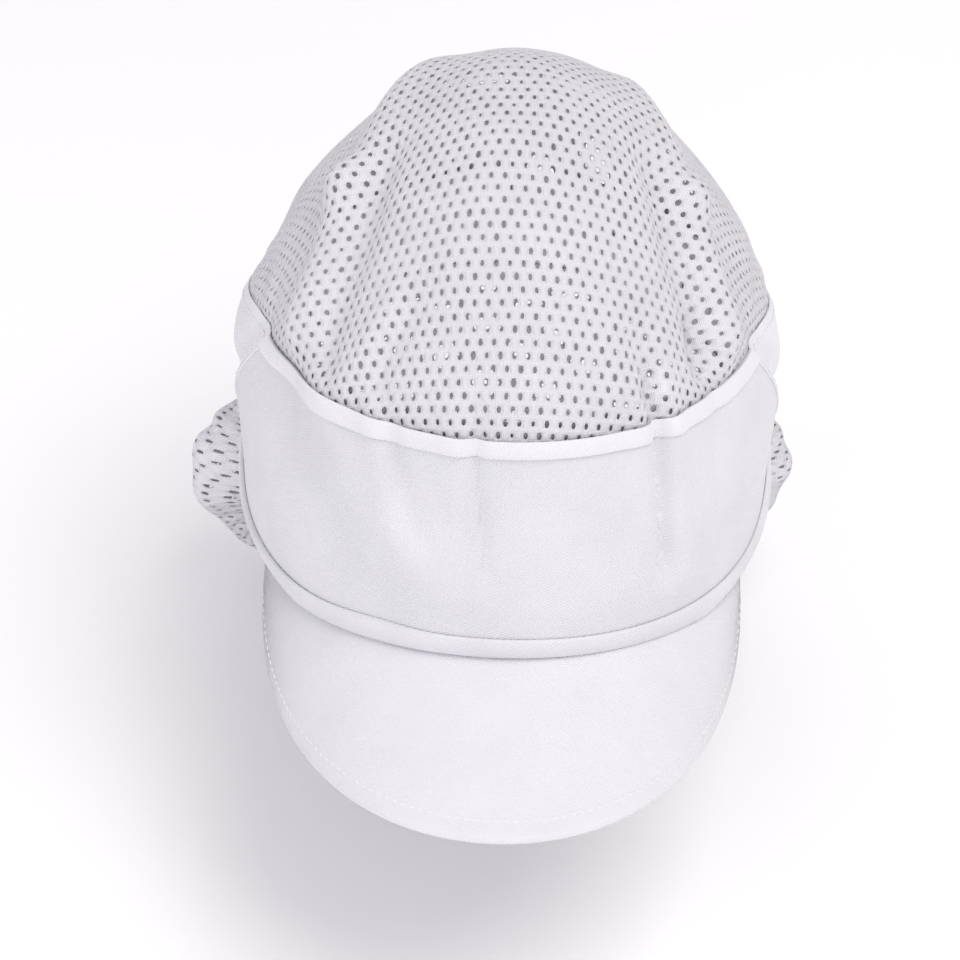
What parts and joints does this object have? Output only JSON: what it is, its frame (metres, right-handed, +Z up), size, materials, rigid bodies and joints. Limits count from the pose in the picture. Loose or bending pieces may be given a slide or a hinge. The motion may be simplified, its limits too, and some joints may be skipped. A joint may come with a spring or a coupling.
{
  "type": "peaked snood cap",
  "caption": "White work cap with a baggy mesh crown, tall twill front panel, fabric-covered peak and a mesh hair snood hanging behind the band.",
  "frame": {"origin": "centre of the head opening, in the plane of the band's lower edge", "axes": "+Z up through the crown, -Y the way the wearer faces, +X the wearer's left"},
  "size_m": [0.2066, 0.2719, 0.2279],
  "materials": {
    "twill": "white polycotton twill with a fine diagonal weave",
    "peak_twill": "white polycotton twill stretched smooth over the peak",
    "lining": "white plain-weave lining",
    "interlining": "white fused interlining",
    "mesh": "white knitted polyester mesh with oval holes",
    "mesh_hem": "white knitted mesh folded double into a hem",
    "tape": "white woven cotton tape",
    "sweatband": "white absorbent plain-weave band",
    "elastic": "white ribbed woven elastic",
    "thread": "white polyester sewing thread",
    "label": "white satin, blank",
    "board": "white flexible polyethylene board"
  },
  "bodies": {
    "cap": {"front_panel_outer": "twill", "front_panel_interlining": "interlining", "front_panel_lining": "lining", "front_hem_strip": "twill", "front_lower_roll": "twill", "side_band_right": "twill", "side_band_left": "twill", "side_lining_right": "lining", "side_lining_left": "lining", "crown_mesh": "mesh", "crown_seam_tape": "tape", "sweatband": "sweatband", "nape_casing": "twill", "nape_elastic": "elastic", "snood_seam_tape": "tape", "care_label": "label", "band_topstitching": "thread", "bar_tacks": "thread"},
    "peak": {"peak_upper_cover": "peak_twill", "peak_board": "board", "peak_under_cover": "peak_twill", "peak_edge_stitching": "thread"},
    "snood": {"snood_mesh": "mesh", "snood_hem_casing": "mesh_hem", "snood_hem_elastic": "elastic"}
  },
  "joints": [
    {"name": "peak_tilt", "type": "hinge", "parent": "cap", "child": "peak", "pos_m": [0, -0.103, 0.012], "axis": [1, 0, 0], "range_deg": [-25, 0], "stiffness_Nm_per_rad": 0.5},
    {"name": "snood_swing", "type": "hinge", "parent": "cap", "child": "snood", "pos_m": [0, 0.103, -0.0003], "axis": [1, 0, 0], "range_deg": [0, 30], "stiffness_Nm_per_rad": 0.5}
  ]
}
